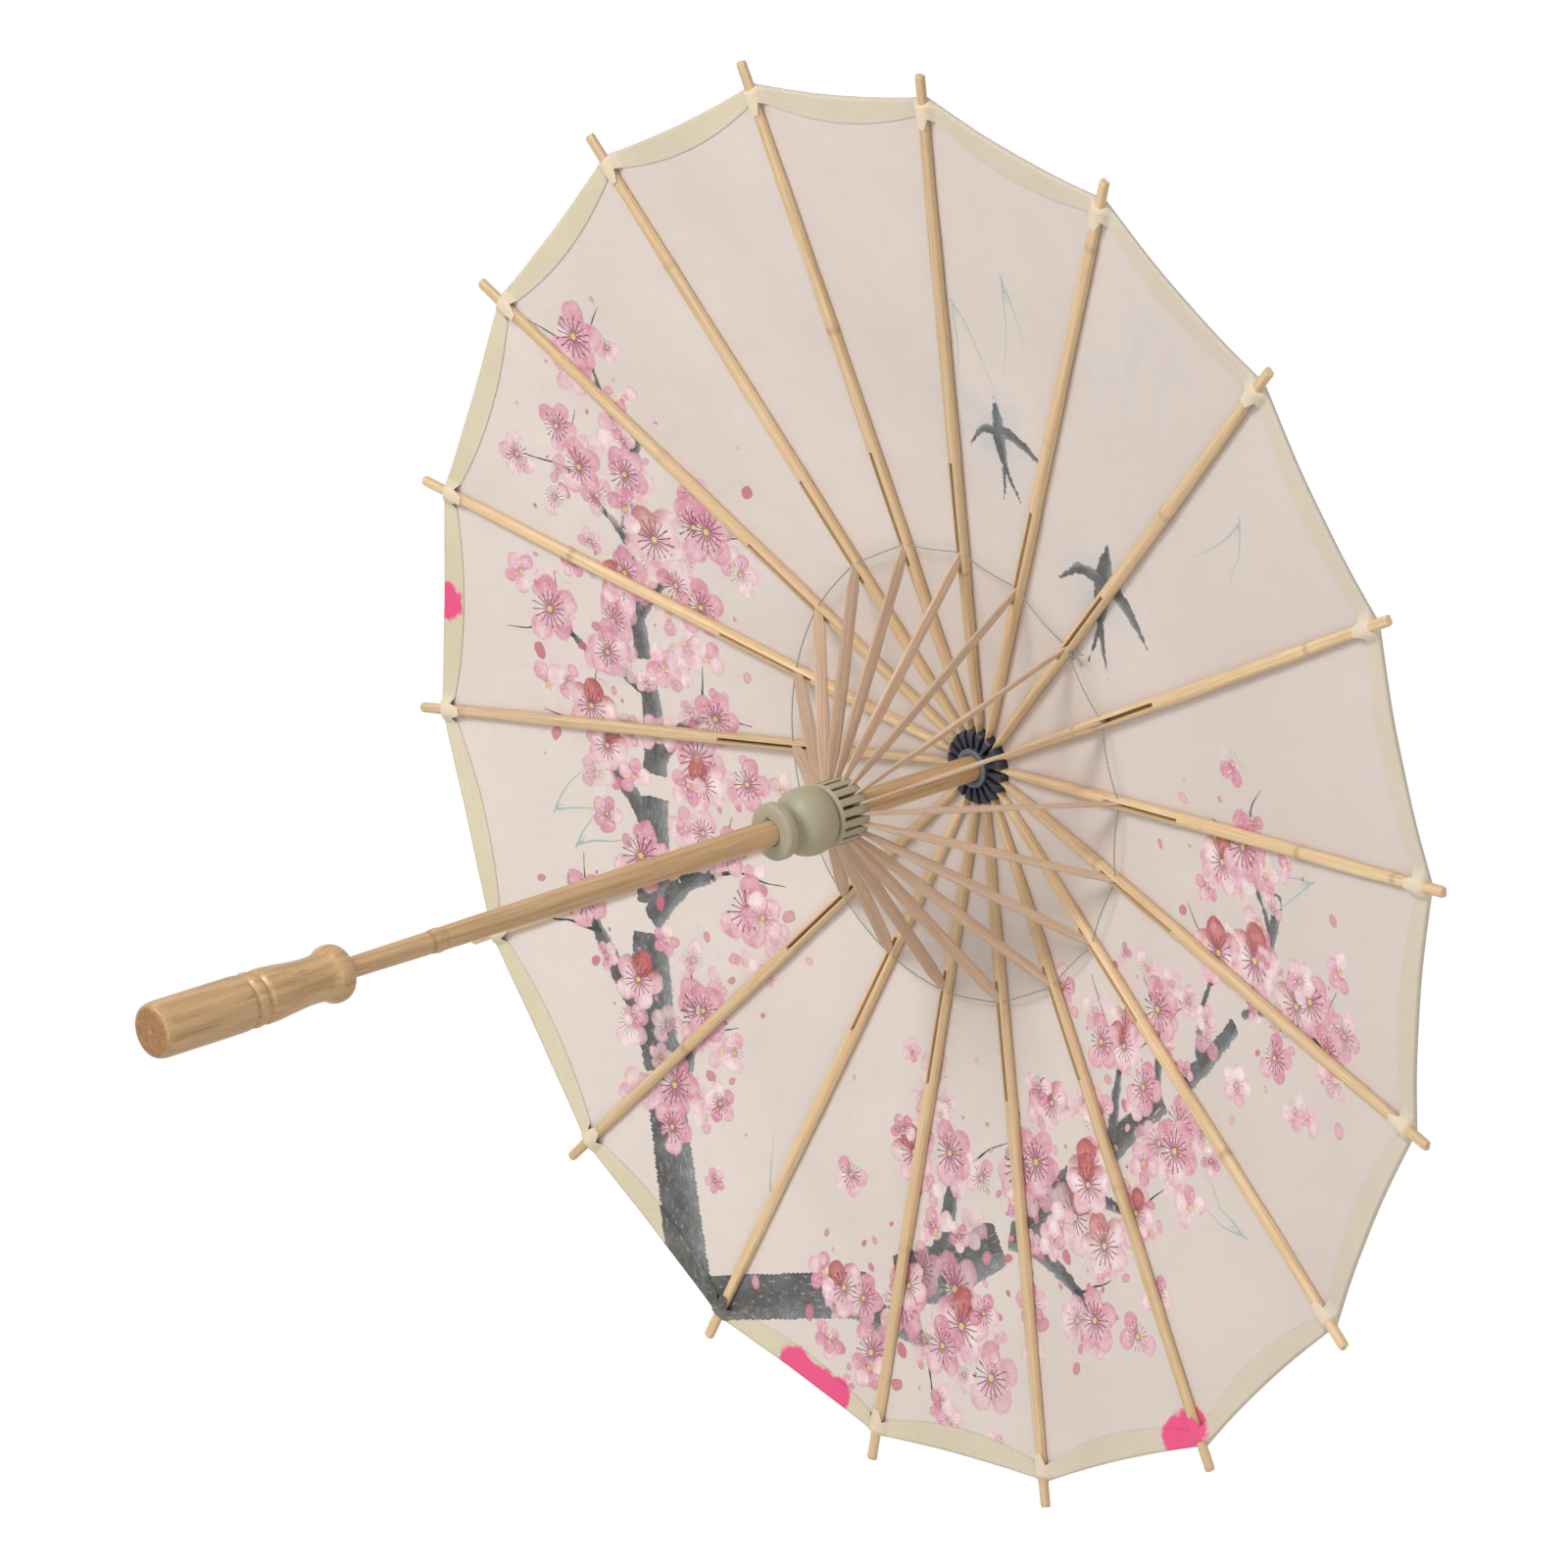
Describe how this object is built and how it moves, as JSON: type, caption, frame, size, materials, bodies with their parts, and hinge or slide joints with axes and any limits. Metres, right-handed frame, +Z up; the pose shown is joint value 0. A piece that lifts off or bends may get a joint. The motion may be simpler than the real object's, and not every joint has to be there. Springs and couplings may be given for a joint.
{
  "type": "oil paper umbrella",
  "caption": "Small open parasol with a printed paper canopy on split bamboo ribs, a sliding runner with stretchers, and a turned wooden handle.",
  "frame": {"origin": "middle of the handle's flat end", "axes": "+Z up the shaft from the handle to the crown; +X through rib 1 and the catch"},
  "size_m": [0.5706, 0.5624, 0.433],
  "materials": {
    "lacquered_wood": "satin lacquer",
    "shaft_bamboo": "bare bamboo, waxed",
    "rib_bamboo": "split bamboo",
    "strip_bamboo": "split bamboo, planed",
    "sage_plastic": "matt moulded",
    "charcoal_plastic": "matt moulded",
    "spring_steel": "bare",
    "canopy_cloth": "oiled paper and silk, printed"
  },
  "bodies": {
    "stick": {"shaft": "shaft_bamboo", "handle": "lacquered_wood", "top_notch": "charcoal_plastic", "crown_cap": "charcoal_plastic"},
    "runner": {"runner": "sage_plastic"},
    "catch": {"catch_spring": "spring_steel"},
    "rib_01": {"rib_01": "rib_bamboo", "canopy_sector_01": "canopy_cloth"},
    "stretcher_01": {"stretcher_01": "strip_bamboo"},
    "rib_02": {"rib_02": "rib_bamboo", "canopy_sector_02": "canopy_cloth"},
    "stretcher_02": {"stretcher_02": "strip_bamboo"},
    "rib_03": {"rib_03": "rib_bamboo", "canopy_sector_03": "canopy_cloth"},
    "stretcher_03": {"stretcher_03": "strip_bamboo"},
    "rib_04": {"rib_04": "rib_bamboo", "canopy_sector_04": "canopy_cloth"},
    "stretcher_04": {"stretcher_04": "strip_bamboo"},
    "rib_05": {"rib_05": "rib_bamboo", "canopy_sector_05": "canopy_cloth"},
    "stretcher_05": {"stretcher_05": "strip_bamboo"},
    "rib_06": {"rib_06": "rib_bamboo", "canopy_sector_06": "canopy_cloth"},
    "stretcher_06": {"stretcher_06": "strip_bamboo"},
    "rib_07": {"rib_07": "rib_bamboo", "canopy_sector_07": "canopy_cloth"},
    "stretcher_07": {"stretcher_07": "strip_bamboo"},
    "rib_08": {"rib_08": "rib_bamboo", "canopy_sector_08": "canopy_cloth"},
    "stretcher_08": {"stretcher_08": "strip_bamboo"},
    "rib_09": {"rib_09": "rib_bamboo", "canopy_sector_09": "canopy_cloth"},
    "stretcher_09": {"stretcher_09": "strip_bamboo"},
    "rib_10": {"rib_10": "rib_bamboo", "canopy_sector_10": "canopy_cloth"},
    "stretcher_10": {"stretcher_10": "strip_bamboo"},
    "rib_11": {"rib_11": "rib_bamboo", "canopy_sector_11": "canopy_cloth"},
    "stretcher_11": {"stretcher_11": "strip_bamboo"},
    "rib_12": {"rib_12": "rib_bamboo", "canopy_sector_12": "canopy_cloth"},
    "stretcher_12": {"stretcher_12": "strip_bamboo"},
    "rib_13": {"rib_13": "rib_bamboo", "canopy_sector_13": "canopy_cloth"},
    "stretcher_13": {"stretcher_13": "strip_bamboo"},
    "rib_14": {"rib_14": "rib_bamboo", "canopy_sector_14": "canopy_cloth"},
    "stretcher_14": {"stretcher_14": "strip_bamboo"},
    "rib_15": {"rib_15": "rib_bamboo", "canopy_sector_15": "canopy_cloth"},
    "stretcher_15": {"stretcher_15": "strip_bamboo"},
    "rib_16": {"rib_16": "rib_bamboo", "canopy_sector_16": "canopy_cloth"},
    "stretcher_16": {"stretcher_16": "strip_bamboo"},
    "rib_17": {"rib_17": "rib_bamboo", "canopy_sector_17": "canopy_cloth"},
    "stretcher_17": {"stretcher_17": "strip_bamboo"},
    "rib_18": {"rib_18": "rib_bamboo", "canopy_sector_18": "canopy_cloth"},
    "stretcher_18": {"stretcher_18": "strip_bamboo"}
  },
  "joints": [
    {"name": "runner_slide", "type": "slide", "parent": "stick", "child": "runner", "axis": [0, 0, -1], "range_m": [0, 0.10951], "deforming": ["catch_spring"]},
    {"name": "catch_press", "type": "slide", "parent": "stick", "child": "catch", "axis": [-1, 0, 0], "range_m": [0, 0.0022], "stiffness_N_per_m": 600},
    {"name": "rib_fold_01", "type": "hinge", "parent": "stick", "child": "rib_01", "pos_m": [0.01, 0, 0.406], "axis": [0, 1, 0], "range_deg": [0, 76.7], "deforming": ["canopy_sector_01"]},
    {"name": "stretcher_turn_01", "type": "hinge", "parent": "rib_01", "child": "stretcher_01", "pos_m": [0.0911, 0, 0.39257], "axis": [0, 1, 0], "range_deg": [-126.6, 0]},
    {"name": "rib_fold_02", "type": "hinge", "parent": "stick", "child": "rib_02", "pos_m": [0.0094, 0.00342, 0.406], "axis": [-0.342, 0.9397, 0], "range_deg": [0, 76.7], "deforming": ["canopy_sector_02"]},
    {"name": "stretcher_turn_02", "type": "hinge", "parent": "rib_02", "child": "stretcher_02", "pos_m": [0.08561, 0.03116, 0.39257], "axis": [-0.342, 0.9397, 0], "range_deg": [-126.6, 0]},
    {"name": "rib_fold_03", "type": "hinge", "parent": "stick", "child": "rib_03", "pos_m": [0.00766, 0.00643, 0.406], "axis": [-0.6428, 0.766, 0], "range_deg": [0, 76.7], "deforming": ["canopy_sector_03"]},
    {"name": "stretcher_turn_03", "type": "hinge", "parent": "rib_03", "child": "stretcher_03", "pos_m": [0.06979, 0.05856, 0.39257], "axis": [-0.6428, 0.766, 0], "range_deg": [-126.6, 0]},
    {"name": "rib_fold_04", "type": "hinge", "parent": "stick", "child": "rib_04", "pos_m": [0.005, 0.00866, 0.406], "axis": [-0.866, 0.5, 0], "range_deg": [0, 76.7], "deforming": ["canopy_sector_04"]},
    {"name": "stretcher_turn_04", "type": "hinge", "parent": "rib_04", "child": "stretcher_04", "pos_m": [0.04555, 0.07889, 0.39257], "axis": [-0.866, 0.5, 0], "range_deg": [-126.6, 0]},
    {"name": "rib_fold_05", "type": "hinge", "parent": "stick", "child": "rib_05", "pos_m": [0.00174, 0.00985, 0.406], "axis": [-0.9848, 0.1736, 0], "range_deg": [0, 76.7], "deforming": ["canopy_sector_05"]},
    {"name": "stretcher_turn_05", "type": "hinge", "parent": "rib_05", "child": "stretcher_05", "pos_m": [0.01582, 0.08972, 0.39257], "axis": [-0.9848, 0.1736, 0], "range_deg": [-126.6, 0]},
    {"name": "rib_fold_06", "type": "hinge", "parent": "stick", "child": "rib_06", "pos_m": [-0.00174, 0.00985, 0.406], "axis": [-0.9848, -0.1736, 0], "range_deg": [0, 76.7], "deforming": ["canopy_sector_06"]},
    {"name": "stretcher_turn_06", "type": "hinge", "parent": "rib_06", "child": "stretcher_06", "pos_m": [-0.01582, 0.08972, 0.39257], "axis": [-0.9848, -0.1736, 0], "range_deg": [-126.6, 0]},
    {"name": "rib_fold_07", "type": "hinge", "parent": "stick", "child": "rib_07", "pos_m": [-0.005, 0.00866, 0.406], "axis": [-0.866, -0.5, 0], "range_deg": [0, 76.7], "deforming": ["canopy_sector_07"]},
    {"name": "stretcher_turn_07", "type": "hinge", "parent": "rib_07", "child": "stretcher_07", "pos_m": [-0.04555, 0.07889, 0.39257], "axis": [-0.866, -0.5, 0], "range_deg": [-126.6, 0]},
    {"name": "rib_fold_08", "type": "hinge", "parent": "stick", "child": "rib_08", "pos_m": [-0.00766, 0.00643, 0.406], "axis": [-0.6428, -0.766, 0], "range_deg": [0, 76.7], "deforming": ["canopy_sector_08"]},
    {"name": "stretcher_turn_08", "type": "hinge", "parent": "rib_08", "child": "stretcher_08", "pos_m": [-0.06979, 0.05856, 0.39257], "axis": [-0.6428, -0.766, 0], "range_deg": [-126.6, 0]},
    {"name": "rib_fold_09", "type": "hinge", "parent": "stick", "child": "rib_09", "pos_m": [-0.0094, 0.00342, 0.406], "axis": [-0.342, -0.9397, 0], "range_deg": [0, 76.7], "deforming": ["canopy_sector_09"]},
    {"name": "stretcher_turn_09", "type": "hinge", "parent": "rib_09", "child": "stretcher_09", "pos_m": [-0.08561, 0.03116, 0.39257], "axis": [-0.342, -0.9397, 0], "range_deg": [-126.6, 0]},
    {"name": "rib_fold_10", "type": "hinge", "parent": "stick", "child": "rib_10", "pos_m": [-0.01, 0, 0.406], "axis": [0, -1, 0], "range_deg": [0, 76.7], "deforming": ["canopy_sector_10"]},
    {"name": "stretcher_turn_10", "type": "hinge", "parent": "rib_10", "child": "stretcher_10", "pos_m": [-0.0911, 0, 0.39257], "axis": [0, -1, 0], "range_deg": [-126.6, 0]},
    {"name": "rib_fold_11", "type": "hinge", "parent": "stick", "child": "rib_11", "pos_m": [-0.0094, -0.00342, 0.406], "axis": [0.342, -0.9397, 0], "range_deg": [0, 76.7], "deforming": ["canopy_sector_11"]},
    {"name": "stretcher_turn_11", "type": "hinge", "parent": "rib_11", "child": "stretcher_11", "pos_m": [-0.08561, -0.03116, 0.39257], "axis": [0.342, -0.9397, 0], "range_deg": [-126.6, 0]},
    {"name": "rib_fold_12", "type": "hinge", "parent": "stick", "child": "rib_12", "pos_m": [-0.00766, -0.00643, 0.406], "axis": [0.6428, -0.766, 0], "range_deg": [0, 76.7], "deforming": ["canopy_sector_12"]},
    {"name": "stretcher_turn_12", "type": "hinge", "parent": "rib_12", "child": "stretcher_12", "pos_m": [-0.06979, -0.05856, 0.39257], "axis": [0.6428, -0.766, 0], "range_deg": [-126.6, 0]},
    {"name": "rib_fold_13", "type": "hinge", "parent": "stick", "child": "rib_13", "pos_m": [-0.005, -0.00866, 0.406], "axis": [0.866, -0.5, 0], "range_deg": [0, 76.7], "deforming": ["canopy_sector_13"]},
    {"name": "stretcher_turn_13", "type": "hinge", "parent": "rib_13", "child": "stretcher_13", "pos_m": [-0.04555, -0.07889, 0.39257], "axis": [0.866, -0.5, 0], "range_deg": [-126.6, 0]},
    {"name": "rib_fold_14", "type": "hinge", "parent": "stick", "child": "rib_14", "pos_m": [-0.00174, -0.00985, 0.406], "axis": [0.9848, -0.1736, 0], "range_deg": [0, 76.7], "deforming": ["canopy_sector_14"]},
    {"name": "stretcher_turn_14", "type": "hinge", "parent": "rib_14", "child": "stretcher_14", "pos_m": [-0.01582, -0.08972, 0.39257], "axis": [0.9848, -0.1736, 0], "range_deg": [-126.6, 0]},
    {"name": "rib_fold_15", "type": "hinge", "parent": "stick", "child": "rib_15", "pos_m": [0.00174, -0.00985, 0.406], "axis": [0.9848, 0.1736, 0], "range_deg": [0, 76.7], "deforming": ["canopy_sector_15"]},
    {"name": "stretcher_turn_15", "type": "hinge", "parent": "rib_15", "child": "stretcher_15", "pos_m": [0.01582, -0.08972, 0.39257], "axis": [0.9848, 0.1736, 0], "range_deg": [-126.6, 0]},
    {"name": "rib_fold_16", "type": "hinge", "parent": "stick", "child": "rib_16", "pos_m": [0.005, -0.00866, 0.406], "axis": [0.866, 0.5, 0], "range_deg": [0, 76.7], "deforming": ["canopy_sector_16"]},
    {"name": "stretcher_turn_16", "type": "hinge", "parent": "rib_16", "child": "stretcher_16", "pos_m": [0.04555, -0.07889, 0.39257], "axis": [0.866, 0.5, 0], "range_deg": [-126.6, 0]},
    {"name": "rib_fold_17", "type": "hinge", "parent": "stick", "child": "rib_17", "pos_m": [0.00766, -0.00643, 0.406], "axis": [0.6428, 0.766, 0], "range_deg": [0, 76.7], "deforming": ["canopy_sector_17"]},
    {"name": "stretcher_turn_17", "type": "hinge", "parent": "rib_17", "child": "stretcher_17", "pos_m": [0.06979, -0.05856, 0.39257], "axis": [0.6428, 0.766, 0], "range_deg": [-126.6, 0]},
    {"name": "rib_fold_18", "type": "hinge", "parent": "stick", "child": "rib_18", "pos_m": [0.0094, -0.00342, 0.406], "axis": [0.342, 0.9397, 0], "range_deg": [0, 76.7], "deforming": ["canopy_sector_18"]},
    {"name": "stretcher_turn_18", "type": "hinge", "parent": "rib_18", "child": "stretcher_18", "pos_m": [0.08561, -0.03116, 0.39257], "axis": [0.342, 0.9397, 0], "range_deg": [-126.6, 0]}
  ],
  "couplings": [
    {"joint": "rib_fold_01", "follows": "runner_slide", "rad_per_m": 12.208},
    {"joint": "stretcher_turn_01", "follows": "runner_slide", "rad_per_m": -20.157},
    {"joint": "rib_fold_02", "follows": "runner_slide", "rad_per_m": 12.208},
    {"joint": "stretcher_turn_02", "follows": "runner_slide", "rad_per_m": -20.157},
    {"joint": "rib_fold_03", "follows": "runner_slide", "rad_per_m": 12.208},
    {"joint": "stretcher_turn_03", "follows": "runner_slide", "rad_per_m": -20.157},
    {"joint": "rib_fold_04", "follows": "runner_slide", "rad_per_m": 12.208},
    {"joint": "stretcher_turn_04", "follows": "runner_slide", "rad_per_m": -20.157},
    {"joint": "rib_fold_05", "follows": "runner_slide", "rad_per_m": 12.208},
    {"joint": "stretcher_turn_05", "follows": "runner_slide", "rad_per_m": -20.157},
    {"joint": "rib_fold_06", "follows": "runner_slide", "rad_per_m": 12.208},
    {"joint": "stretcher_turn_06", "follows": "runner_slide", "rad_per_m": -20.157},
    {"joint": "rib_fold_07", "follows": "runner_slide", "rad_per_m": 12.208},
    {"joint": "stretcher_turn_07", "follows": "runner_slide", "rad_per_m": -20.157},
    {"joint": "rib_fold_08", "follows": "runner_slide", "rad_per_m": 12.208},
    {"joint": "stretcher_turn_08", "follows": "runner_slide", "rad_per_m": -20.157},
    {"joint": "rib_fold_09", "follows": "runner_slide", "rad_per_m": 12.208},
    {"joint": "stretcher_turn_09", "follows": "runner_slide", "rad_per_m": -20.157},
    {"joint": "rib_fold_10", "follows": "runner_slide", "rad_per_m": 12.208},
    {"joint": "stretcher_turn_10", "follows": "runner_slide", "rad_per_m": -20.157},
    {"joint": "rib_fold_11", "follows": "runner_slide", "rad_per_m": 12.208},
    {"joint": "stretcher_turn_11", "follows": "runner_slide", "rad_per_m": -20.157},
    {"joint": "rib_fold_12", "follows": "runner_slide", "rad_per_m": 12.208},
    {"joint": "stretcher_turn_12", "follows": "runner_slide", "rad_per_m": -20.157},
    {"joint": "rib_fold_13", "follows": "runner_slide", "rad_per_m": 12.208},
    {"joint": "stretcher_turn_13", "follows": "runner_slide", "rad_per_m": -20.157},
    {"joint": "rib_fold_14", "follows": "runner_slide", "rad_per_m": 12.208},
    {"joint": "stretcher_turn_14", "follows": "runner_slide", "rad_per_m": -20.157},
    {"joint": "rib_fold_15", "follows": "runner_slide", "rad_per_m": 12.208},
    {"joint": "stretcher_turn_15", "follows": "runner_slide", "rad_per_m": -20.157},
    {"joint": "rib_fold_16", "follows": "runner_slide", "rad_per_m": 12.208},
    {"joint": "stretcher_turn_16", "follows": "runner_slide", "rad_per_m": -20.157},
    {"joint": "rib_fold_17", "follows": "runner_slide", "rad_per_m": 12.208},
    {"joint": "stretcher_turn_17", "follows": "runner_slide", "rad_per_m": -20.157},
    {"joint": "rib_fold_18", "follows": "runner_slide", "rad_per_m": 12.208},
    {"joint": "stretcher_turn_18", "follows": "runner_slide", "rad_per_m": -20.157}
  ]
}
